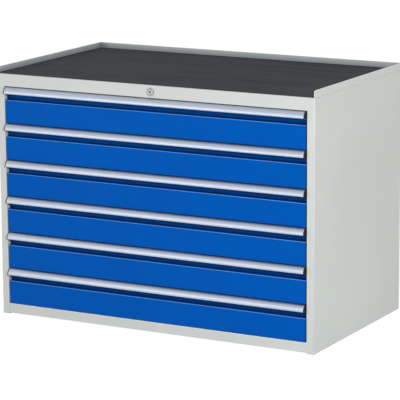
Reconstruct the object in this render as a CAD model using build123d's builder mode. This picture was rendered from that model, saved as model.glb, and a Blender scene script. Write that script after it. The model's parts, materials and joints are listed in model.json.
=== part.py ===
from build123d import *
import math
import os

# A floor-standing workshop cabinet with full-width drawers, in millimetres.
# X runs along the front to the right, Y runs to the back and Z is up.
# The origin is the centre of the overall footprint, on the floor.

# Housing
width = 1145
depth = 650
post_width = 25
post_return = 16.5
rear_flange = 25
foot_flange = 20
top_rail = 41
top_rail_return = 16
bottom_rail_top = 36
bottom_rail_return = 20
floor_gap = 4
housing_sheet = 1.2
fold_radius = 2.5
rear_panel_fold = 15

# Cover tray and mat
cover_sheet = 1.5
rim_height = 22
rim_thickness = 3
rim_corner = 8
rim_edge = 1
mat_thickness = 3
mat_gap = 1

# Drawer fronts and their places
drawer_count = 6
drawer_pitch = 121
front_gap = 3
head_gap = 2.5
foot_gap = 1.5
side_gap = 3.5
front_sheet = 1.2
recess_depth = 14
ledge_height = 75
ledge_rise = 4
ledge_radius = 2.5
front_top_fold = 5

# Grip rail and its end caps
grip_reach = 13
grip_drop = 21.5
grip_wall = 2
grip_nose = 2.6
grip_flange = 26
cap_thickness = 3

# Drawer trays
runner_space = 21.5
inside_depth = 600
tray_height = 95
tray_lift = 7.5
tray_sheet = 1
hem_height = 8
hem_thickness = 2

# Telescopic runners
travel = 580
runner_length = 590
runner_start = 26
runner_height = 36.5
channel_height = 33
channel_sheet = 1.5
carriage_web = 2
carriage_flange_width = 14
carriage_flange_sheet = 1.5
carriage_play = 0.6
roller_play = 0.3
roller_side_play = 0.5
roller_margin = 2.3
stop_play = 0.8
buffer_length = 11
buffer_play = 0.4

# Uprights that carry the runners
upright_sheet = 1.5
upright_width = 40
upright_front = 28
upright_rear = 560
slots_per_bay = 1
slot_width = 6
slot_height = 14
hook_width = 5
hook_height = 9
hook_reach = 4

# Lock and its linkage
lock_drop = 22
bezel_diameter = 25
bezel_height = 4
barrel_diameter = 19
barrel_length = 17
barrel_play = 0.2
nut_across = 26
nut_height = 5
plug_diameter = 14
plug_play = 0.2
plug_rebate = 1.2
keyhole_height = 8
keyhole_width = 2
keyhole_depth = 6
shank_width = 7
cam_thickness = 2.4
cam_hub = 18
cam_play = 0.4
crank_radius = 10
key_turn = 90
pin_diameter = 5
crank_slot_play = 0.7
bar_slot_play = 0.4
bar_thickness = 3
bar_gap = 0.4
lock_bar_front = 18
transfer_bar_height = 16
transfer_pin_inset = 6.5
transfer_pin_drop = 15
transfer_plate_margin = 8
lock_bar_width = 16
lock_bar_inset = 4.3
lug_reach = 13
lug_height = 10
lug_locked_height = 70.5
catch_play = 0.8
catch_length = 8
catch_gap = 1
catch_base = 8.5
guide_wall = 1.4
guide_height = 12
guide_lift = 32
bar_floor_play = 3
block_width = 14
block_insets = (97.5, 367.5)

# Places that follow from the sizes above
half_width = width / 2
front_y = (grip_reach - depth) / 2
back_y = front_y + depth
opening_half = half_width - post_width
wall_x = half_width - housing_sheet
fronts_bottom = bottom_rail_top + foot_gap
fronts_top = fronts_bottom + drawer_count * drawer_pitch - front_gap
opening_top = fronts_top + head_gap
deck_top = opening_top + top_rail
housing_top = deck_top - cover_sheet
rim_top = deck_top + rim_height
front_height = drawer_pitch - front_gap
front_half = opening_half - side_gap
front_depth = recess_depth + front_sheet
tray_half = opening_half - runner_space
tray_front = front_y + front_depth
tray_length = inside_depth + 2 * tray_sheet
runner_y = front_y + runner_start
carriage_x = (opening_half + tray_half) / 2
channel_depth = (opening_half - tray_half - carriage_web) / 2 - carriage_play
roller_radius = channel_height / 2 - channel_sheet - roller_play
roller_width = channel_depth + carriage_play - channel_sheet - roller_side_play
roller_inset = roller_radius + roller_margin
stage = travel / 2
slot_pitch = drawer_pitch / slots_per_bay
lock_z = deck_top - lock_drop
bar_travel = 2 * crank_radius * math.sin(math.radians(key_turn / 2))
lock_bar_y = front_y + lock_bar_front
transfer_bar_y = lock_bar_y + bar_thickness + bar_gap
lock_bar_x = wall_x - lock_bar_inset - lock_bar_width
transfer_pin_x = opening_half - transfer_pin_inset
transfer_pin_z = deck_top - transfer_pin_drop
drawers = range(1, drawer_count + 1)


def front_z(number):
    """Bottom of a drawer front. Drawer 1 is the top one."""
    return fronts_bottom + (drawer_count - number) * drawer_pitch


def save(piece, name):
    piece.label = name
    export_step(piece, f"parts/{name}.step")


os.makedirs("parts", exist_ok=True)


# Side panels: each is one sheet with the front post, the wall, a rear flange and a foot

with BuildPart() as side_panel_right:
    with BuildSketch():
        with BuildLine():
            FilletPolyline(
                (opening_half, front_y + post_return),
                (opening_half, front_y),
                (half_width, front_y),
                (half_width, back_y),
                (half_width - rear_flange, back_y),
                radius=(0, fold_radius, fold_radius),
            )
            offset(amount=housing_sheet, side=Side.LEFT)
        make_face()
    extrude(amount=housing_top - housing_sheet)
    with Locations((wall_x, back_y - housing_sheet, 0)):
        Box(
            foot_flange,
            depth - post_return - housing_sheet,
            housing_sheet,
            align=(Align.MAX, Align.MAX, Align.MIN),
        )
save(side_panel_right.part, "side_panel_right")

with BuildPart() as side_panel_left:
    mirror(side_panel_right.part, about=Plane.YZ)
save(side_panel_left.part, "side_panel_left")


# Rear panel: a sheet in front of the rear flanges, folded forward at the top

rear_face = back_y - housing_sheet
rear_half = half_width - fold_radius
with BuildPart() as rear_panel:
    with BuildSketch(Plane.YZ):
        with BuildLine():
            Polyline(
                (rear_face, housing_sheet),
                (rear_face, housing_top - housing_sheet),
                (rear_face - rear_panel_fold, housing_top - housing_sheet),
            )
            offset(amount=housing_sheet, side=Side.LEFT)
        make_face()
    extrude(amount=rear_half, both=True)
save(rear_panel.part, "rear_panel")


# Base panel: the cabinet floor, folded down at the front as the bottom rail

base_back = rear_face - housing_sheet
with BuildPart() as base_panel:
    with BuildSketch(Plane.YZ):
        with BuildLine():
            FilletPolyline(
                (front_y + bottom_rail_return, floor_gap),
                (front_y, floor_gap),
                (front_y, bottom_rail_top),
                (base_back, bottom_rail_top),
                (base_back, floor_gap),
                radius=(0, fold_radius, 0),
            )
            offset(amount=housing_sheet, side=Side.RIGHT)
        make_face()
    extrude(amount=opening_half, both=True)
    with Locations((0, base_back - fold_radius, bottom_rail_top)):
        Box(
            2 * wall_x,
            base_back - fold_radius - front_y - post_return,
            housing_sheet,
            align=(Align.CENTER, Align.MAX, Align.MAX),
        )
save(base_panel.part, "base_panel")


# Top panel: folded down at the front as the top rail, with the hole for the lock

lock_face = Plane(origin=(0, front_y, lock_z), x_dir=(1, 0, 0), z_dir=(0, -1, 0))
with BuildPart() as top_panel:
    with BuildSketch(Plane.YZ):
        with BuildLine():
            FilletPolyline(
                (front_y + top_rail_return, opening_top),
                (front_y, opening_top),
                (front_y, housing_top),
                (back_y, housing_top),
                radius=(0, fold_radius),
            )
            offset(amount=housing_sheet, side=Side.RIGHT)
        make_face()
    extrude(amount=opening_half, both=True)
    with Locations((0, (front_y + back_y) / 2, housing_top)):
        with GridLocations(width - post_width, 0, 2, 1):
            Box(post_width, depth, housing_sheet, align=(Align.CENTER, Align.CENTER, Align.MAX))
    with BuildSketch(lock_face):
        Circle(barrel_diameter / 2 + barrel_play)
    extrude(amount=-2 * housing_sheet, mode=Mode.SUBTRACT)
save(top_panel.part, "top_panel")


# Cover tray: a deck with hemmed rims at the sides and the back, open at the front

rim_x = half_width - rim_thickness
with BuildPart() as cover_tray:
    with Locations((0, (front_y + back_y) / 2, housing_top)):
        Box(width, depth, cover_sheet, align=(Align.CENTER, Align.CENTER, Align.MIN))
    with BuildSketch(Plane.YZ.offset(rim_x)) as side_rim:
        with Locations(((front_y + back_y) / 2, housing_top)):
            Rectangle(depth, rim_top - housing_top, align=(Align.CENTER, Align.MIN))
        fillet(side_rim.vertices().group_by(Axis.Y)[-1].sort_by(Axis.X)[0], rim_corner)
    extrude(amount=rim_thickness)
    mirror(about=Plane.YZ)
    with Locations((0, back_y, housing_top)):
        Box(width, rim_thickness, rim_top - housing_top, align=(Align.CENTER, Align.MAX, Align.MIN))
    chamfer(cover_tray.edges().group_by(Axis.Z)[-1], rim_edge)
save(cover_tray.part, "cover_tray")

with BuildPart() as ribbed_mat:
    with BuildSketch(Plane.XY.offset(deck_top)):
        with Locations((0, (front_y + back_y - rim_thickness - mat_gap) / 2)):
            Rectangle(2 * (rim_x - mat_gap), depth - rim_thickness - 2 * mat_gap)
    extrude(amount=mat_thickness)
save(ribbed_mat.part, "ribbed_mat")


# Uprights behind the posts and near the back, with a row of hook slots

slot_rows = (drawer_count - 1) * slots_per_bay + 1
lowest_slot = front_z(drawer_count) + runner_height
highest_slot = lowest_slot + (slot_rows - 1) * slot_pitch
with BuildPart() as runner_uprights:
    for start in (upright_front, upright_rear):
        upright_y = front_y + start
        with BuildSketch(Plane.XY.offset(bottom_rail_top)):
            with BuildLine():
                Polyline(
                    (wall_x, upright_y),
                    (opening_half, upright_y),
                    (opening_half, upright_y + upright_width),
                    (wall_x, upright_y + upright_width),
                )
                offset(amount=upright_sheet, side=Side.RIGHT)
            make_face()
        extrude(amount=housing_top - housing_sheet - bottom_rail_top)
        with BuildSketch(Plane.YZ.offset(opening_half)):
            with Locations((upright_y + upright_width / 2, (lowest_slot + highest_slot) / 2)):
                with GridLocations(0, slot_pitch, 1, slot_rows):
                    Rectangle(slot_width, slot_height)
        extrude(amount=upright_sheet, mode=Mode.SUBTRACT)
    mirror(about=Plane.YZ)
save(runner_uprights.part, "runner_uprights")


# Telescopic runners: a channel on the cabinet, a carriage with rollers, a channel on the drawer

stop_reach = roller_radius + stop_play
cabinet_stop_y = runner_y + runner_length - roller_inset - stage - stop_reach - channel_sheet
drawer_stop_y = runner_y + roller_inset + stage + stop_reach
buffer_start = runner_length - roller_inset + roller_radius + buffer_play
cabinet_channel_length = buffer_start + buffer_length


def channel_section(back_x, lip_x, centre_z, place_y):
    """Section of a roller channel, from its web at back_x to its lips at lip_x."""
    inward = math.copysign(1, lip_x - back_x)
    half = channel_height / 2
    web_x = back_x + inward * channel_sheet
    with BuildSketch(Plane.XZ.offset(-place_y)) as section:
        with BuildLine():
            Polyline(
                (lip_x, centre_z + half),
                (back_x, centre_z + half),
                (back_x, centre_z - half),
                (lip_x, centre_z - half),
                (lip_x, centre_z - half + channel_sheet),
                (web_x, centre_z - half + channel_sheet),
                (web_x, centre_z + half - channel_sheet),
                (lip_x, centre_z + half - channel_sheet),
                close=True,
            )
        make_face()
    return section.sketch


def stop_section(back_x, lip_x, centre_z, place_y):
    """Plate across a channel that stops its roller at full extension."""
    with BuildSketch(Plane.XZ.offset(-place_y)) as section:
        with Locations(((back_x + lip_x) / 2, centre_z)):
            Rectangle(abs(lip_x - back_x), channel_height)
    return section.sketch


with BuildPart() as cabinet_channels:
    for number in drawers:
        centre_z = front_z(number) + runner_height
        lip_x = opening_half - channel_depth
        extrude(channel_section(opening_half, lip_x, centre_z, runner_y), amount=-cabinet_channel_length)
        extrude(stop_section(opening_half, lip_x, centre_z, cabinet_stop_y), amount=-channel_sheet)
        for start in (upright_front, upright_rear):
            with Locations((opening_half, front_y + start + upright_width / 2, centre_z)):
                Box(hook_reach, hook_width, hook_height, align=(Align.MIN, Align.CENTER, Align.CENTER))
save(cabinet_channels.part, "cabinet_channels_right")

with BuildPart() as other_cabinet_channels:
    mirror(cabinet_channels.part, about=Plane.YZ)
save(other_cabinet_channels.part, "cabinet_channels_left")

with BuildPart() as runner_buffers:
    for number in drawers:
        with Locations(
            (
                opening_half - channel_sheet,
                runner_y + buffer_start,
                front_z(number) + runner_height,
            )
        ):
            Box(
                roller_width,
                buffer_length,
                channel_height - 2 * channel_sheet,
                align=(Align.MAX, Align.MIN, Align.CENTER),
            )
    mirror(about=Plane.YZ)
save(runner_buffers.part, "runner_buffers")

for number in drawers:
    centre_z = front_z(number) + runner_height

    with BuildPart() as drawer_channels:
        lip_x = tray_half + channel_depth
        extrude(channel_section(tray_half, lip_x, centre_z, runner_y), amount=-runner_length)
        extrude(stop_section(tray_half, lip_x, centre_z, drawer_stop_y), amount=-channel_sheet)
        mirror(about=Plane.YZ)
    save(drawer_channels.part, f"drawer_{number}_channels")

    with BuildPart() as carriages:
        flange_z = channel_height / 2 + carriage_play + carriage_flange_sheet / 2
        with BuildSketch(Plane.XZ.offset(-runner_y)):
            with Locations((carriage_x, centre_z)):
                Rectangle(carriage_web, 2 * flange_z)
                with GridLocations(0, 2 * flange_z, 1, 2):
                    Rectangle(carriage_flange_width, carriage_flange_sheet)
        extrude(amount=-runner_length)
        with BuildSketch(Plane.YZ.offset(carriage_x + carriage_web / 2)):
            with Locations((runner_y + runner_length - roller_inset, centre_z)):
                Circle(roller_radius)
        extrude(amount=roller_width)
        with BuildSketch(Plane.YZ.offset(carriage_x - carriage_web / 2)):
            with Locations((runner_y + roller_inset, centre_z)):
                Circle(roller_radius)
        extrude(amount=-roller_width)
        mirror(about=Plane.YZ)
    save(carriages.part, f"drawer_{number}_carriages")


# Drawer trays: folded steel trays with hemmed upper edges

for number in drawers:
    tray_bottom = front_z(number) + tray_lift
    tray_top = tray_bottom + tray_height
    with BuildPart() as tray:
        with BuildSketch(Plane.XZ.offset(-tray_front)):
            with BuildLine():
                Polyline(
                    (-tray_half, tray_top),
                    (-tray_half, tray_bottom),
                    (tray_half, tray_bottom),
                    (tray_half, tray_top),
                )
                offset(amount=tray_sheet, side=Side.LEFT)
            make_face()
        extrude(amount=-tray_length)
        for place_y in (tray_front, tray_front + tray_length - tray_sheet):
            with BuildSketch(Plane.XZ.offset(-place_y)):
                with Locations((0, tray_bottom)):
                    Rectangle(2 * tray_half, tray_height, align=(Align.CENTER, Align.MIN))
            extrude(amount=-tray_sheet)
        with BuildSketch(Plane.XY.offset(tray_top - hem_height)):
            with Locations((0, tray_front + tray_length / 2)):
                Rectangle(2 * tray_half, tray_length)
                Rectangle(
                    2 * (tray_half - hem_thickness),
                    tray_length - 2 * hem_thickness,
                    mode=Mode.SUBTRACT,
                )
        extrude(amount=hem_height)
    save(tray.part, f"drawer_{number}_tray")


# Drawer fronts: a flush panel, a ledge, and a wall set back behind the fingers

def front_point(inward, height, number):
    """Point in a drawer front's section: distance behind the front, height above its lower edge."""
    return (front_y + inward, front_z(number) + height)


catch_back = lock_bar_front + bar_thickness + catch_gap + catch_length
notch_floor = lug_locked_height - catch_play
for number in drawers:
    with BuildPart() as front:
        with BuildSketch(Plane.YZ):
            with BuildLine():
                FilletPolyline(
                    front_point(front_depth, 0, number),
                    front_point(0, 0, number),
                    front_point(0, ledge_height, number),
                    front_point(recess_depth, ledge_height + ledge_rise, number),
                    front_point(recess_depth, front_height, number),
                    front_point(recess_depth + front_top_fold, front_height, number),
                    radius=(0, ledge_radius, 0, 0),
                )
                offset(amount=front_sheet, side=Side.RIGHT)
            make_face()
        extrude(amount=front_half, both=True)
        with BuildSketch(Plane.YZ.offset(front_half)):
            with BuildLine():
                Polyline(
                    front_point(front_depth, front_sheet, number),
                    front_point(front_sheet, front_sheet, number),
                    front_point(front_sheet, ledge_height - front_sheet / 2, number),
                    front_point(front_depth, ledge_height + ledge_rise - front_sheet / 2, number),
                    close=True,
                )
            make_face()
        extrude(amount=-front_sheet)
        mirror(about=Plane.YZ)
        with BuildSketch(Plane.YZ.offset(front_half)):
            with BuildLine():
                Polyline(
                    front_point(recess_depth, notch_floor - catch_base, number),
                    front_point(catch_back, notch_floor - catch_base, number),
                    front_point(catch_back, lug_locked_height + lug_height, number),
                    front_point(catch_back - catch_length, lug_locked_height + lug_height, number),
                    front_point(catch_back - catch_length, notch_floor, number),
                    front_point(recess_depth, notch_floor, number),
                    close=True,
                )
            make_face()
        extrude(amount=-front_sheet)
    save(front.part, f"drawer_{number}_front")


# Grip rails: an extrusion with a mounting flange, a top web and a round blade with a nose

def grip_points(number):
    """Top front corner of a grip rail's section, the outer end of its blade and the centre of its nose."""
    top = Vector(*front_point(0, front_height, number))
    blade_end = top - (grip_reach, grip_drop - grip_nose)
    return top, blade_end, blade_end + (grip_nose, 0)


for number in drawers:
    top, blade_end, nose = grip_points(number)
    with BuildPart() as grip:
        with BuildSketch(Plane.YZ):
            with BuildLine():
                Polyline(top + (recess_depth, -grip_flange), top + (recess_depth, 0), top)
                TangentArc(blade_end, top, tangent=(0, 1))
                Line(blade_end, blade_end + (grip_wall, 0))
                TangentArc(blade_end + (grip_wall, 0), top - (0, grip_wall), tangent=(0, 1))
                Polyline(
                    top - (0, grip_wall),
                    top + (recess_depth - grip_wall, -grip_wall),
                    top + (recess_depth - grip_wall, -grip_flange),
                    top + (recess_depth, -grip_flange),
                )
            make_face()
            with Locations(nose):
                Circle(grip_nose)
        extrude(amount=front_half - cap_thickness, both=True)
    save(grip.part, f"drawer_{number}_grip")

    with BuildPart() as end_caps:
        with BuildSketch(Plane.YZ.offset(front_half - cap_thickness)):
            with BuildLine():
                Polyline(top + (recess_depth, -grip_flange), top + (recess_depth, 0), top)
                TangentArc(blade_end, top, tangent=(0, 1))
                Polyline(blade_end, nose - (0, grip_nose), top + (recess_depth, -grip_flange))
            make_face()
            with Locations(nose):
                Circle(grip_nose)
        extrude(amount=cap_thickness)
        mirror(about=Plane.YZ)
    save(end_caps.part, f"drawer_{number}_end_caps")


# Lock: barrel, nut, plug and cam, all on the axis through the top rail

with BuildPart() as lock_barrel:
    with BuildSketch(lock_face):
        Circle(bezel_diameter / 2)
    extrude(amount=bezel_height)
    with BuildSketch(lock_face):
        Circle(barrel_diameter / 2)
    extrude(amount=-barrel_length)
    with BuildSketch(lock_face.offset(bezel_height)):
        Circle(plug_diameter / 2 + plug_play)
    extrude(amount=-bezel_height - barrel_length, mode=Mode.SUBTRACT)
save(lock_barrel.part, "lock_barrel")

with BuildPart() as lock_nut:
    with BuildSketch(lock_face.offset(-housing_sheet)):
        RegularPolygon(nut_across / 2, 6, major_radius=False)
        Circle(barrel_diameter / 2 + barrel_play, mode=Mode.SUBTRACT)
    extrude(amount=-nut_height)
save(lock_nut.part, "lock_nut")

with BuildPart() as lock_plug:
    with BuildSketch(lock_face.offset(bezel_height - plug_rebate)):
        Circle(plug_diameter / 2)
    extrude(amount=plug_rebate - bezel_height - barrel_length)
    with BuildSketch(lock_face.offset(-barrel_length)):
        Rectangle(shank_width, shank_width)
    extrude(amount=-cam_play - cam_thickness)
    with BuildSketch(lock_face.offset(bezel_height - plug_rebate)):
        Rectangle(keyhole_width, keyhole_height)
    extrude(amount=-keyhole_depth, mode=Mode.SUBTRACT)
save(lock_plug.part, "lock_plug")

crank_x = crank_radius * math.sin(math.radians(key_turn / 2))
crank_z = -crank_radius * math.cos(math.radians(key_turn / 2))
cam_face = -barrel_length - cam_play
with BuildPart() as lock_cam:
    with BuildSketch(lock_face.offset(cam_face)):
        with BuildSketch(mode=Mode.PRIVATE) as lobes:
            Circle(cam_hub / 2)
            with Locations((crank_x, crank_z)):
                Circle(pin_diameter)
        make_hull(lobes.edges())
        Rectangle(shank_width, shank_width, mode=Mode.SUBTRACT)
    extrude(amount=-cam_thickness)
    with BuildSketch(lock_face.offset(cam_face - cam_thickness)):
        with Locations((crank_x, crank_z)):
            Circle(pin_diameter / 2)
    extrude(amount=cam_face - cam_thickness + transfer_bar_y - front_y + bar_thickness, dir=(0, 1, 0))
save(lock_cam.part, "lock_cam")


# Transfer bar: the cam pushes it sideways, and its slanted slot pushes the lock bar down

slot_rise = crank_radius + crank_z
slot_centre_z = lock_z + crank_z - slot_rise / 2
bar_bottom = slot_centre_z - transfer_bar_height / 2
bar_top = slot_centre_z + transfer_bar_height / 2
slant = bar_travel * math.sqrt(2)
plate_left = transfer_pin_x - transfer_plate_margin
plate_right = transfer_pin_x + bar_travel + transfer_plate_margin
plate_bottom = transfer_pin_z - bar_travel - transfer_plate_margin
plate_top = transfer_pin_z + transfer_plate_margin
with BuildPart() as transfer_bar:
    with BuildSketch(Plane.XZ.offset(-transfer_bar_y)):
        with BuildLine():
            Polyline(
                (crank_x - transfer_bar_height, bar_bottom),
                (plate_left, bar_bottom),
                (plate_left, plate_bottom),
                (plate_right, plate_bottom),
                (plate_right, plate_top),
                (plate_left, plate_top),
                (plate_left, bar_top),
                (crank_x - transfer_bar_height, bar_top),
                close=True,
            )
        make_face()
        with Locations((crank_x, slot_centre_z)):
            SlotCenterToCenter(
                slot_rise,
                pin_diameter + 2 * crank_slot_play,
                rotation=90,
                mode=Mode.SUBTRACT,
            )
        with Locations((transfer_pin_x + bar_travel / 2, transfer_pin_z - bar_travel / 2)):
            SlotCenterToCenter(
                slant,
                pin_diameter + 2 * bar_slot_play,
                rotation=-45,
                mode=Mode.SUBTRACT,
            )
    extrude(amount=-bar_thickness)
save(transfer_bar.part, "transfer_bar")


# Lock bar: a strip behind the right post with a lug for each drawer's catch

lock_bar_bottom = bottom_rail_top + bar_travel + bar_floor_play
with BuildPart() as lock_bar:
    with BuildSketch(Plane.XZ.offset(-lock_bar_y)):
        with Locations((lock_bar_x, lock_bar_bottom)):
            Rectangle(
                lock_bar_width,
                transfer_pin_z + pin_diameter - lock_bar_bottom,
                align=(Align.MIN, Align.MIN),
            )
        with Locations((transfer_pin_x - pin_diameter, transfer_pin_z)):
            Rectangle(
                lock_bar_x - transfer_pin_x + pin_diameter,
                2 * pin_diameter,
                align=(Align.MIN, Align.CENTER),
            )
        for number in drawers:
            with Locations((lock_bar_x, front_z(number) + lug_locked_height + bar_travel)):
                Rectangle(lug_reach, lug_height, align=(Align.MAX, Align.MIN))
    extrude(amount=-bar_thickness)
    with BuildSketch(Plane.XZ.offset(-lock_bar_y - bar_thickness)):
        with Locations((transfer_pin_x, transfer_pin_z)):
            Circle(pin_diameter / 2)
    extrude(amount=-bar_gap - bar_thickness)
save(lock_bar.part, "lock_bar")


# Guides: straps on the right wall for the lock bar, blocks on the top rail for the transfer bar

strap_left = lock_bar_x - bar_gap - guide_wall
strap_front = lock_bar_y - bar_gap - guide_wall
strap_depth = bar_thickness + 2 * bar_gap + 2 * guide_wall
with BuildPart() as lock_bar_guides:
    for number in (1, drawer_count // 2, drawer_count):
        with BuildSketch(Plane.XY.offset(front_z(number) + guide_lift - guide_height / 2)):
            with Locations((strap_left, strap_front)):
                Rectangle(wall_x - strap_left, strap_depth, align=(Align.MIN, Align.MIN))
            with Locations((lock_bar_x - bar_gap, lock_bar_y - bar_gap)):
                Rectangle(
                    lock_bar_width + 2 * bar_gap,
                    bar_thickness + 2 * bar_gap,
                    align=(Align.MIN, Align.MIN),
                    mode=Mode.SUBTRACT,
                )
        extrude(amount=guide_height)
save(lock_bar_guides.part, "lock_bar_guides")

block_bottom = opening_top + housing_sheet
block_front = front_y + housing_sheet
block_back = transfer_bar_y + bar_thickness + bar_gap + guide_wall
with BuildPart() as transfer_bar_guides:
    for inset in block_insets:
        with BuildSketch(Plane.YZ.offset(opening_half - inset)):
            with Locations((block_front, block_bottom)):
                Rectangle(
                    block_back - block_front,
                    bar_top + bar_gap + guide_wall - block_bottom,
                    align=(Align.MIN, Align.MIN),
                )
            with Locations((transfer_bar_y - bar_gap, bar_bottom - bar_gap)):
                Rectangle(
                    bar_thickness + 2 * bar_gap,
                    transfer_bar_height + 2 * bar_gap,
                    align=(Align.MIN, Align.MIN),
                    mode=Mode.SUBTRACT,
                )
        extrude(amount=block_width)
save(transfer_bar_guides.part, "transfer_bar_guides")
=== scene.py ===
import json
import math

import bmesh
import bpy
from mathutils import Matrix, Vector


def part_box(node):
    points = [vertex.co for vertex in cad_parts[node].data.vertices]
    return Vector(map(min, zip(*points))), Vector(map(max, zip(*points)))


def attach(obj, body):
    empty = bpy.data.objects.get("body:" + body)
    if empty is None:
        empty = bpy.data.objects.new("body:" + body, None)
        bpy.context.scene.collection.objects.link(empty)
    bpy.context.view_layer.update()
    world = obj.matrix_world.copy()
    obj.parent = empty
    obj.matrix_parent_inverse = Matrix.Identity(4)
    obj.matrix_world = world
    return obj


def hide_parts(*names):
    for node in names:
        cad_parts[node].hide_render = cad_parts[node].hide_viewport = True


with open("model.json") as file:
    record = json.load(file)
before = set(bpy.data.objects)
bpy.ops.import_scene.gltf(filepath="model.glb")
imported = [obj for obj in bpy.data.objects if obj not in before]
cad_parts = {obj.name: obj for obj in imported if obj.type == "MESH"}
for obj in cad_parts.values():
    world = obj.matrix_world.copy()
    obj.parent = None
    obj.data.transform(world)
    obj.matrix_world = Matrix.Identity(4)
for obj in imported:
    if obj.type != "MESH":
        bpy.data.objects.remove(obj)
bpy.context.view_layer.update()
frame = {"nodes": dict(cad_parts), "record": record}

nodes = frame["nodes"]
MM = 0.001


# Materials: colour, roughness and bump come from noise in the part's own space, and some colours
# also hold painted shade and painted highlights

class Finish:
    """A Principled material and the node calls that give it its detail."""

    def __init__(self, name, **fixed):
        self.material = bpy.data.materials.new(name)
        self.material.use_nodes = True
        self.tree = self.material.node_tree
        self.shader = self.tree.nodes["Principled BSDF"]
        self.place = self.node("ShaderNodeTexCoord").outputs["Object"]
        self.normal = None
        for socket, value in fixed.items():
            self.shader.inputs[socket.replace("_", " ")].default_value = value

    def node(self, kind, **settings):
        made = self.tree.nodes.new(kind)
        for key, value in settings.items():
            setattr(made, key, value)
        return made

    def link(self, source, target):
        self.tree.links.new(source, target)

    def stretched(self, factors, shift=(0, 0, 0)):
        """The part's own space, scaled along each axis and shifted."""
        mapping = self.node("ShaderNodeMapping")
        mapping.inputs["Scale"].default_value = factors
        mapping.inputs["Location"].default_value = shift
        self.link(self.place, mapping.inputs["Vector"])
        return mapping.outputs["Vector"]

    def noise(self, size, detail=2.0, space=None):
        """Soft noise whose spots are about size metres across."""
        made = self.node("ShaderNodeTexNoise")
        made.inputs["Scale"].default_value = 1 / size
        made.inputs["Detail"].default_value = detail
        self.link(space or self.place, made.inputs["Vector"])
        return made.outputs["Fac"]

    def cells(self, size):
        """Flat grains about size metres across, each with its own value from 0 to 1."""
        made = self.node("ShaderNodeTexVoronoi")
        made.inputs["Scale"].default_value = 1 / size
        self.link(self.place, made.inputs["Vector"])
        channels = self.node("ShaderNodeSeparateColor")
        self.link(made.outputs["Color"], channels.inputs["Color"])
        return channels.outputs["Red"]

    def between(self, value, low, high, start=0.3, end=0.7):
        """Maps a pattern that runs from start to end onto low to high."""
        made = self.node("ShaderNodeMapRange")
        limits = {"From Min": start, "From Max": end, "To Min": low, "To Max": high}
        for socket, number in limits.items():
            made.inputs[socket].default_value = number
        self.link(value, made.inputs["Value"])
        return made.outputs["Result"]

    def upper_edges(self):
        """1 on rounded edges that face half upwards, 0 on flat walls and floors; it marks where a
        highlight is painted.
        """
        channels = self.node("ShaderNodeSeparateXYZ")
        self.link(self.node("ShaderNodeNewGeometry").outputs["Normal"], channels.inputs[0])
        rise = self.between(channels.outputs["Z"], low=0, high=1, start=0.15, end=0.45)
        fall = self.between(channels.outputs["Z"], low=1, high=0, start=0.75, end=0.92)
        both = self.node("ShaderNodeMath", operation="MULTIPLY")
        self.link(rise, both.inputs[0])
        self.link(fall, both.inputs[1])
        return both.outputs[0]

    def openness(self, reach, closed, clear, alone=False):
        """0 in hollows and corners, 1 in the open, from ambient occlusion; it marks where shade is
        painted.

        What stands nearer than reach metres counts, or only the piece itself.
        """
        made = self.node("ShaderNodeAmbientOcclusion", samples=8, only_local=alone)
        made.inputs["Distance"].default_value = reach
        return self.between(made.outputs["AO"], low=0, high=1, start=closed, end=clear)

    def off_axis(self, centre, inner, outer):
        """0 within inner metres of a line through centre along Y, 1 beyond outer."""
        across = self.stretched((1, 0, 1), shift=(-centre.x, 0, -centre.z))
        length = self.node("ShaderNodeVectorMath", operation="LENGTH")
        self.link(across, length.inputs[0])
        return self.between(length.outputs["Value"], low=0, high=1, start=inner, end=outer)

    def blend(self, factor, first, second):
        """Mixes two colours, each a tuple or what another node gives."""
        made = self.node("ShaderNodeMix", data_type="RGBA")
        self.link(factor, made.inputs["Factor"])
        for socket, colour in ((made.inputs[6], first), (made.inputs[7], second)):
            if isinstance(colour, tuple):
                socket.default_value = (*colour, 1)
            else:
                self.link(colour, socket)
        return made.outputs[2]

    def colour(self, source):
        self.link(source, self.shader.inputs["Base Color"])

    def roughness(self, source):
        self.link(source, self.shader.inputs["Roughness"])

    def bump(self, height, depth):
        """Adds relief of about depth metres to what is there."""
        made = self.node("ShaderNodeBump")
        made.inputs["Distance"].default_value = depth
        self.link(height, made.inputs["Height"])
        if self.normal:
            self.link(self.normal, made.inputs["Normal"])
        self.normal = made.outputs["Normal"]
        self.link(self.normal, self.shader.inputs["Normal"])


def shade(colour, factor):
    return tuple(min(1.0, channel * factor) for channel in colour)


def powder_coat(name, colour, roughness, painted_highlight, painted_shade, hollow_shade, **fixed):
    """Baked powder paint: a fine even grain over a slight waviness.

    It carries a painted highlight on upward-facing rounded edges, and painted shade in hollows and
    in the gaps between parts, found by ambient occlusion.
    """
    paint = Finish(name, IOR=1.5, **fixed)
    clouds = paint.between(paint.noise(size=0.35), low=0, high=1)
    grain = paint.noise(size=1.1 * MM, detail=3)
    # Mask of the gaps between parts within 3 mm, where shade is painted
    joint_shade = paint.openness(reach=3 * MM, closed=0.25, clear=0.85)
    tone = paint.blend(clouds, shade(colour, 0.97), shade(colour, 1.03))
    tone = paint.blend(paint.between(grain, low=0, high=0.12), tone, shade(colour, 0.8))
    # Painted highlight on upward-facing rounded edges
    tone = paint.blend(paint.upper_edges(), tone, painted_highlight)
    # Painted shade in hollows
    tone = paint.blend(paint.openness(**hollow_shade), painted_shade, tone)
    # Painted shade in the gaps and joints between parts
    paint.colour(paint.blend(joint_shade, painted_shade, tone))
    paint.roughness(paint.between(grain, *roughness))
    paint.bump(paint.noise(size=28 * MM, detail=1), depth=0.1 * MM)
    paint.bump(grain, depth=0.03 * MM)
    return paint.material


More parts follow.
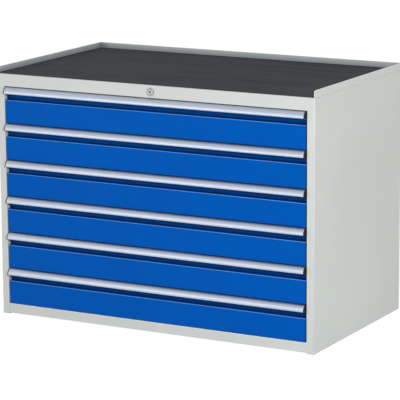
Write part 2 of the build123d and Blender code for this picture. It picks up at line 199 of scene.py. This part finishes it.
def anodised(name, colour):
    """Extruded aluminium: fine draw lines along the rail under a satin anodised skin."""
    metal = Finish(name, Metallic=1.0)
    clouds = metal.between(metal.noise(size=0.2), low=0, high=1)
    lines = metal.noise(size=0.5 * MM, space=metal.stretched((0.004, 1, 1)))
    pores = metal.noise(size=0.8 * MM)
    metal.colour(metal.blend(clouds, shade(colour, 0.97), colour))
    metal.roughness(metal.between(pores, low=0.38, high=0.46))
    metal.bump(lines, depth=0.01 * MM)
    metal.bump(pores, depth=0.004 * MM)
    return metal.material


def zinc(name, colour):
    """Zinc-plated steel: faint grains of differing shine."""
    metal = Finish(name, Metallic=1.0)
    grains = metal.cells(size=4 * MM)
    metal.colour(metal.blend(grains, shade(colour, 0.9), colour))
    metal.roughness(metal.between(grains, low=0.28, high=0.42, start=0, end=1))
    metal.bump(metal.noise(size=1.5 * MM), depth=0.01 * MM)
    return metal.material


def plated(name, colour, keyhole=None):
    """Bright plating with a faint haze, painted shade in its hollows, and painted shade on and
    around the keyhole.
    """
    metal = Finish(name, Metallic=1.0)
    haze = metal.noise(size=1.5 * MM, detail=4)
    # Painted shade in hollows within 4 mm
    hollow_shade = metal.openness(reach=4 * MM, closed=0.1, clear=0.8)
    tone = metal.blend(metal.between(haze, low=0, high=1), shade(colour, 0.92), colour)
    tone = metal.blend(hollow_shade, shade(colour, 0.1), tone)
    # Painted shade on and around the keyhole
    if keyhole is not None:
        keyhole_shade_mask = metal.off_axis(keyhole, inner=2.6 * MM, outer=4.2 * MM)
        tone = metal.blend(keyhole_shade_mask, shade(colour, 0.06), tone)
    metal.colour(tone)
    metal.roughness(metal.between(haze, low=0.12, high=0.22))
    metal.bump(haze, depth=0.004 * MM)
    return metal.material


def mat_sheet(name, colour):
    """Ribbed rubber: painted sheen as faint lighter streaks along the ribs and as broad lighter
    and darker patches, over a fine grain.
    """
    rubber = Finish(name, IOR=1.48, Specular_IOR_Level=0.2)
    streaks = rubber.noise(size=6 * MM, space=rubber.stretched((0.02, 1, 1)))
    patches = rubber.noise(size=0.4, space=rubber.stretched((0.6, 1.4, 1), shift=(0.35, 0, 0)))
    grain = rubber.noise(size=0.9 * MM, detail=3)
    # Broad lighter and darker patches of painted sheen
    painted_sheen_patches = rubber.between(patches, low=0, high=1)
    tone = rubber.blend(painted_sheen_patches, shade(colour, 0.6), shade(colour, 1.15))
    # Lighter streaks of painted sheen; the same streaks also vary the roughness
    tone = rubber.blend(rubber.between(streaks, low=0, high=0.45), tone, shade(colour, 1.5))
    tone = rubber.blend(rubber.between(grain, low=0, high=0.4), tone, shade(colour, 0.6))
    rubber.colour(tone)
    rubber.roughness(rubber.between(streaks, low=0.82, high=0.66))
    rubber.bump(grain, depth=0.04 * MM)
    return rubber.material


def moulded(name, colour, roughness, grain_size, **fixed):
    """Moulded plastic or rubber with an eroded grain."""
    plastic = Finish(name, IOR=1.48, **fixed)
    grain = plastic.noise(grain_size, detail=3)
    speckle = plastic.between(grain, low=0, high=1)
    plastic.colour(plastic.blend(speckle, shade(colour, 0.85), shade(colour, 1.15)))
    plastic.roughness(plastic.between(grain, *roughness))
    plastic.bump(grain, depth=grain_size / 25)
    return plastic.material


finishes = {
    "housing_paint": powder_coat(
        "housing_paint",
        colour=(0.62, 0.64, 0.62),
        roughness=(0.42, 0.52),
        # Painted highlight on upward-facing rounded edges, such as the rim tops
        painted_highlight=(0.88, 0.9, 0.88),
        # Painted shade in a cool grey for hollows, such as the inner faces of the tray rims
        painted_shade=(0.18, 0.225, 0.235),
        hollow_shade={"reach": 40 * MM, "closed": 0.48, "clear": 1.0, "alone": True},
    ),
    "front_paint": powder_coat(
        "front_paint",
        colour=(0, 0.09, 0.44),
        roughness=(0.34, 0.44),
        # Painted highlight on the rounded ledge edge under each grip
        painted_highlight=(0.16, 0.4, 1),
        # Painted shade in hollows, such as the recess under each grip
        painted_shade=(0, 0.006, 0.045),
        hollow_shade={"reach": 40 * MM, "closed": 0.3, "clear": 0.92},
        Specular_IOR_Level=0.3,
        Specular_Tint=(0.02, 0.4, 1, 1),
    ),
    "grip_aluminium": anodised("grip_aluminium", colour=(0.43, 0.475, 0.56)),
    "cap_plastic": moulded(
        "cap_plastic",
        colour=(0.012, 0.012, 0.014),
        roughness=(0.55, 0.7),
        grain_size=0.5 * MM,
        Specular_IOR_Level=0.25,
    ),
    "mat_rubber": mat_sheet("mat_rubber", colour=(0.034, 0.037, 0.045)),
    "runner_steel": zinc("runner_steel", colour=(0.62, 0.64, 0.67)),
    "lock_chrome": plated("lock_chrome", colour=(0.4, 0.4, 0.41)),
    "guide_plastic": moulded(
        "guide_plastic", colour=(0.55, 0.55, 0.53), roughness=(0.35, 0.5), grain_size=1.2 * MM
    ),
    "buffer_rubber": moulded(
        "buffer_rubber", colour=(0.02, 0.02, 0.02), roughness=(0.6, 0.8), grain_size=1.2 * MM
    ),
}

for subpart in frame["record"]["subparts"]:
    mesh = nodes[subpart["node"]].data
    mesh.materials.clear()
    mesh.materials.append(finishes[subpart["material_slot"]])

# The plug's face gets a painted shade on and around its keyhole
plug_low, plug_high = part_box("lock_plug")
nodes["lock_plug"].data.materials[0] = plated(
    "lock_plug_face", colour=(0.6, 0.6, 0.59), keyhole=(plug_low + plug_high) / 2
)


# The mat: fine ribs that run along the width

def add_piece(name, verts, faces, body, slot):
    """Makes a mesh piece that rides a body and wears a slot's finish."""
    mesh = bpy.data.meshes.new(name)
    mesh.from_pydata(verts, [], faces)
    mesh.validate()
    mesh.update()
    piece = bpy.data.objects.new(name, mesh)
    bpy.context.scene.collection.objects.link(piece)
    mesh.materials.append(finishes[slot])
    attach(piece, body)
    return piece


RIB_PITCH = 3 * MM
GROOVE_DEPTH = 1.1 * MM
# The section of one groove and rib: shares of the pitch, and of the depth below the top
RIB_SHAPE = (
    (0.0, 1.0),
    (0.14, 1.0),
    (0.2, 0.3),
    (0.27, 0.06),
    (0.38, 0.0),
    (0.76, 0.0),
    (0.87, 0.06),
    (0.94, 0.3),
)

low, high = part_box("ribbed_mat")
rib_count = round((high.y - low.y) / RIB_PITCH)
rib_width = (high.y - low.y) / rib_count
section = []
for rib in range(rib_count):
    for along, down in RIB_SHAPE:
        section.append((low.y + (rib + along) * rib_width, high.z - down * GROOVE_DEPTH))
section.append((high.y, high.z - GROOVE_DEPTH))
verts = []
for x in (low.x, high.x):
    verts += [(x, y, z) for y, z in section]
    verts += [(x, y, low.z) for y, _ in section]
count = len(section)
faces = []
for i in range(count - 1):
    left, right = i, i + 2 * count
    faces += [
        (left, right, right + 1, left + 1),
        (left + count, left + count + 1, right + count + 1, right + count),
        (left, left + 1, left + count + 1, left + count),
        (right, right + count, right + count + 1, right + 1),
    ]
faces += [
    (0, count, 3 * count, 2 * count),
    (count - 1, 3 * count - 1, 4 * count - 1, 2 * count - 1),
]
mat_ribs = add_piece("mat_ribs", verts, faces, "cabinet", "mat_rubber")
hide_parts("ribbed_mat")


# Drawer trays: folded sheet with slotted walls for dividers and rolled upper edges

SHEET = 1 * MM
SLOT_PITCH = 25 * MM
SLOT_WIDTH = 3 * MM
SLOT_HEIGHT = 12 * MM
SLOT_MARGIN = 14 * MM
HEM_HEIGHT = 8 * MM
HEM_WIDTH = 2 * MM
HEM_STEPS = 6


class Shell:
    """Collects the faces of one mesh, with one vertex for each place."""

    def __init__(self):
        self.index = {}
        self.verts = []
        self.faces = []

    def vertex(self, place):
        key = tuple(round(value, 7) for value in place)
        if key not in self.index:
            self.index[key] = len(self.verts)
            self.verts.append(key)
        return self.index[key]

    def face(self, *places):
        self.faces.append([self.vertex(place) for place in places])

    def sheet(self, columns, rows, thickness, place, open_cells=()):
        """A sheet between two grids of lines, with the open cells cut out.

        place turns (u, v, w) into a point, where w runs through the thickness.
        """
        solid = {
            (i, j)
            for i in range(len(columns) - 1)
            for j in range(len(rows) - 1)
            if (i, j) not in open_cells
        }
        for i, j in solid:
            low_u, high_u = columns[i], columns[i + 1]
            low_v, high_v = rows[j], rows[j + 1]
            corners = [(low_u, low_v), (high_u, low_v), (high_u, high_v), (low_u, high_v)]
            self.face(*(place(u, v, thickness) for u, v in corners))
            self.face(*(place(u, v, 0) for u, v in reversed(corners)))
            for k, beside in enumerate(((i, j - 1), (i + 1, j), (i, j + 1), (i - 1, j))):
                if beside not in solid:
                    start, end = corners[k], corners[(k + 1) % 4]
                    rim = [(*start, 0), (*end, 0), (*end, thickness), (*start, thickness)]
                    self.face(*(place(*corner) for corner in rim))


def slot_grid(length, height):
    """Grid lines of a wall with slots near its top and its bottom, and the cells they cut."""
    count = int((length - 2 * SLOT_MARGIN) / SLOT_PITCH)
    first = (length - count * SLOT_PITCH) / 2
    columns = [0]
    for i in range(count + 1):
        centre = first + i * SLOT_PITCH
        columns += [centre - SLOT_WIDTH / 2, centre + SLOT_WIDTH / 2]
    columns.append(length)
    rows = [0, SLOT_MARGIN, SLOT_MARGIN + SLOT_HEIGHT]
    rows += [height - SLOT_MARGIN - SLOT_HEIGHT, height - SLOT_MARGIN, height]
    open_cells = {(2 * i + 1, j) for i in range(count + 1) for j in (1, 3)}
    return columns, rows, open_cells


def tray_shell(low, high):
    """A floor, slotted walls on four sides and a hem with a round top."""
    shell = Shell()
    left, right = low.x + SHEET, high.x - SHEET
    front, back = low.y + SHEET, high.y - SHEET
    inner = high.x - low.x - 2 * SHEET
    depth = high.y - low.y
    height = high.z - low.z - HEM_HEIGHT / 2

    floor_grid = ([0, inner], [0, depth - 2 * SHEET])
    shell.sheet(*floor_grid, SHEET, lambda u, v, w: (left + u, front + v, low.z + w))
    columns, rows, cut = slot_grid(depth, height)
    for x, out in ((left, -1), (right, 1)):
        shell.sheet(columns, rows, SHEET, lambda u, v, w: (x + out * w, low.y + u, low.z + v), cut)
    columns, rows, cut = slot_grid(inner, height)
    for y, out in ((front, -1), (back, 1)):
        shell.sheet(columns, rows, SHEET, lambda u, v, w: (left + u, y + out * w, low.z + v), cut)

    radius = HEM_WIDTH / 2
    section = [(0, -HEM_HEIGHT), (HEM_WIDTH, -HEM_HEIGHT)]
    for step in range(HEM_STEPS + 1):
        angle = math.pi * step / HEM_STEPS
        section.append((radius + radius * math.cos(angle), radius * (math.sin(angle) - 1)))
    rings = []
    for inset, rise in section:
        z = high.z + rise
        rings.append(
            [
                (low.x + inset, low.y + inset, z),
                (high.x - inset, low.y + inset, z),
                (high.x - inset, high.y - inset, z),
                (low.x + inset, high.y - inset, z),
            ]
        )
    for this, after in zip(rings, rings[1:] + rings[:1]):
        for i in range(4):
            j = (i + 1) % 4
            shell.face(this[i], this[j], after[j], after[i])
    return shell


def add_shell(name, shell, body, slot):
    """Makes a piece of a shell and turns all its faces outwards."""
    piece = add_piece(name, shell.verts, shell.faces, body, slot)
    mesh = bmesh.new()
    mesh.from_mesh(piece.data)
    bmesh.ops.recalc_face_normals(mesh, faces=mesh.faces)
    mesh.to_mesh(piece.data)
    mesh.free()
    return piece


tray_names = [name for name in nodes if name.startswith("drawer_") and name.endswith("_tray")]
drawers = range(1, len(tray_names) + 1)
for number in drawers:
    replaced = f"drawer_{number}_tray"
    shell = tray_shell(*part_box(replaced))
    tray = add_shell(f"drawer_{number}_folded_tray", shell, f"drawer_{number}", "front_paint")
    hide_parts(replaced)


# Rivets inside the trays, which hold the drawer channels

RIVET_RADIUS = 3.2 * MM
RIVET_HEIGHT = 1.2 * MM
RIVET_SEGMENTS = 16
# The dome of a head: shares of the radius, and of the height
RIVET_RINGS = ((1, 0), (0.97, 0.25), (0.8, 0.65), (0.45, 0.93))
RIVETS_PER_SIDE = 4


def add_rivet(shell, wall_x, y, z, turn):
    """Adds a domed head on a wall, which stands off it towards turn."""
    rings = []
    for wide, high in RIVET_RINGS:
        x = wall_x + turn * high * RIVET_HEIGHT
        radius = wide * RIVET_RADIUS
        ring = []
        for i in range(RIVET_SEGMENTS):
            angle = 2 * math.pi * i / RIVET_SEGMENTS
            ring.append((x, y + radius * math.cos(angle), z + radius * math.sin(angle)))
        rings.append(ring)
    for inner, outer in zip(rings[1:], rings):
        for i in range(RIVET_SEGMENTS):
            j = (i + 1) % RIVET_SEGMENTS
            shell.face(outer[i], outer[j], inner[j], inner[i])
    top = (wall_x + turn * RIVET_HEIGHT, y, z)
    for i in range(RIVET_SEGMENTS):
        shell.face(rings[-1][i], rings[-1][(i + 1) % RIVET_SEGMENTS], top)
    shell.face(*rings[0])


for number in drawers:
    low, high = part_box(f"drawer_{number}_tray")
    channels_low, channels_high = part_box(f"drawer_{number}_channels")
    z = (channels_low.z + channels_high.z) / 2
    shell = Shell()
    for i in range(RIVETS_PER_SIDE):
        y = low.y + (high.y - low.y) * (i + 0.5) / RIVETS_PER_SIDE
        add_rivet(shell, low.x + SHEET, y, z, 1)
        add_rivet(shell, high.x - SHEET, y, z, -1)
    add_shell(f"drawer_{number}_rivets", shell, f"drawer_{number}", "runner_steel")


# Rounded edges on the folded sheets, which leave a fine joint line between them.
# Each face comes in with corners of its own, so the corners are joined first.

JOIN_WITHIN = 0.01 * MM
EDGE_ANGLE = math.radians(50)

edge_radius = {"cover_tray": 0.7 * MM, "lock_barrel": 1.3 * MM}
for name in ("top_panel", "side_panel_left", "side_panel_right", "base_panel", "rear_panel"):
    edge_radius[name] = 0.6 * MM
for number in drawers:
    edge_radius[f"drawer_{number}_front"] = 0.5 * MM
for name, radius in edge_radius.items():
    joined = nodes[name].modifiers.new("joined", "WELD")
    joined.merge_threshold = JOIN_WITHIN
    rounding = nodes[name].modifiers.new("edges", "BEVEL")
    rounding.width = radius
    rounding.segments = 2
    rounding.limit_method = "ANGLE"
    rounding.angle_limit = EDGE_ANGLE
    rounding.harden_normals = True


# Floor and world: white to the eye and in mirrors, and a plain light level on the object

FLOOR_HALF = 30
FLOOR_BOUNCE = 0.6
FLOOR_SEEN = 0.35
FLOOR_GLOW = 0.86
WORLD_LIGHT = 0.45


def grey(level):
    return (level, level, level, 1)


def show(tree, seen, unseen, target):
    """Gives camera, mirror and glass rays the first shader, and bouncing light the second."""
    path = tree.nodes.new("ShaderNodeLightPath")
    direct = path.outputs["Is Camera Ray"]
    for name in ("Is Glossy Ray", "Is Transmission Ray"):
        either = tree.nodes.new("ShaderNodeMath")
        either.operation = "MAXIMUM"
        tree.links.new(direct, either.inputs[0])
        tree.links.new(path.outputs[name], either.inputs[1])
        direct = either.outputs[0]
    mix = tree.nodes.new("ShaderNodeMixShader")
    tree.links.new(direct, mix.inputs[0])
    tree.links.new(unseen, mix.inputs[1])
    tree.links.new(seen, mix.inputs[2])
    tree.links.new(mix.outputs[0], target)


floor_mesh = bpy.data.meshes.new("floor")
corners = [(x * FLOOR_HALF, y * FLOOR_HALF, 0) for x, y in ((-1, -1), (1, -1), (1, 1), (-1, 1))]
floor_mesh.from_pydata(corners, [], [(0, 1, 2, 3)])
floor = bpy.data.objects.new("floor", floor_mesh)
bpy.context.scene.collection.objects.link(floor)

floor_material = bpy.data.materials.new("floor")
floor_material.use_nodes = True
tree = floor_material.node_tree
tree.nodes.remove(tree.nodes["Principled BSDF"])
bounce = tree.nodes.new("ShaderNodeBsdfDiffuse")
bounce.inputs["Color"].default_value = grey(FLOOR_BOUNCE)
shadowed = tree.nodes.new("ShaderNodeBsdfDiffuse")
shadowed.inputs["Color"].default_value = grey(FLOOR_SEEN)
glow = tree.nodes.new("ShaderNodeEmission")
glow.inputs["Strength"].default_value = FLOOR_GLOW
both = tree.nodes.new("ShaderNodeAddShader")
tree.links.new(shadowed.outputs[0], both.inputs[0])
tree.links.new(glow.outputs[0], both.inputs[1])
show(tree, both.outputs[0], bounce.outputs[0], tree.nodes["Material Output"].inputs["Surface"])
floor_mesh.materials.append(floor_material)

world = bpy.data.worlds.new("studio")
bpy.context.scene.world = world
world.use_nodes = True
tree = world.node_tree
light = tree.nodes["Background"]
light.inputs["Color"].default_value = grey(1)
light.inputs["Strength"].default_value = WORLD_LIGHT
white = tree.nodes.new("ShaderNodeBackground")
white.inputs["Color"].default_value = grey(1)
show(tree, white.outputs[0], light.outputs[0], tree.nodes["World Output"].inputs["Surface"])


# Lamps

def softbox(name, place, target, size, power):
    """A rectangular lamp that faces its target."""
    lamp = bpy.data.lights.new(name, "AREA")
    lamp.shape = "RECTANGLE"
    lamp.size, lamp.size_y = size
    lamp.energy = power
    holder = bpy.data.objects.new(name, lamp)
    bpy.context.scene.collection.objects.link(holder)
    holder.location = place
    aim = Vector(target) - Vector(place)
    holder.rotation_euler = aim.to_track_quat("-Z", "Y").to_euler()


softbox("key", (3.15, -4.1, 2.3), target=(0.25, -0.2, 0.35), size=(1.6, 1.1), power=158)
softbox("strip", (-1.9, -4.0, 1.4), target=(-0.1, 0, 0.35), size=(1.2, 0.5), power=18)
softbox("side", (4.0, -0.6, 0.45), target=(0.57, 0, 0.4), size=(1.6, 0.6), power=11)
softbox("left", (-4.0, -0.2, 0.45), target=(-0.57, 0, 0.4), size=(1.6, 0.6), power=50)
softbox("rear", (-0.4, 4.2, 0.45), target=(0, 0.33, 0.4), size=(1.8, 0.6), power=60)


# Camera: place in metres, and its turn to the side, downward tilt and roll in degrees

CAMERA_PLACE = (3.5708, -6.5167, 1.9218)
CAMERA_TURN = (28.715, 11.746, -0.384)
FOCAL_PIXELS = 2305.5
PHOTO_PIXELS = 400
SENSOR_WIDTH = 36
FARTHEST = 100

turn, tilt, roll = (math.radians(angle) for angle in CAMERA_TURN)
lens = bpy.data.cameras.new("camera")
lens.sensor_width = SENSOR_WIDTH
lens.lens = FOCAL_PIXELS / PHOTO_PIXELS * SENSOR_WIDTH
lens.clip_end = FARTHEST
camera = bpy.data.objects.new("camera", lens)
bpy.context.scene.collection.objects.link(camera)
camera.matrix_world = (
    Matrix.Translation(CAMERA_PLACE)
    @ Matrix.Rotation(turn, 4, "Z")
    @ Matrix.Rotation(math.pi / 2 - tilt, 4, "X")
    @ Matrix.Rotation(roll, 4, "Z")
)
bpy.context.scene.camera = camera
bpy.context.scene.view_settings.view_transform = "Standard"
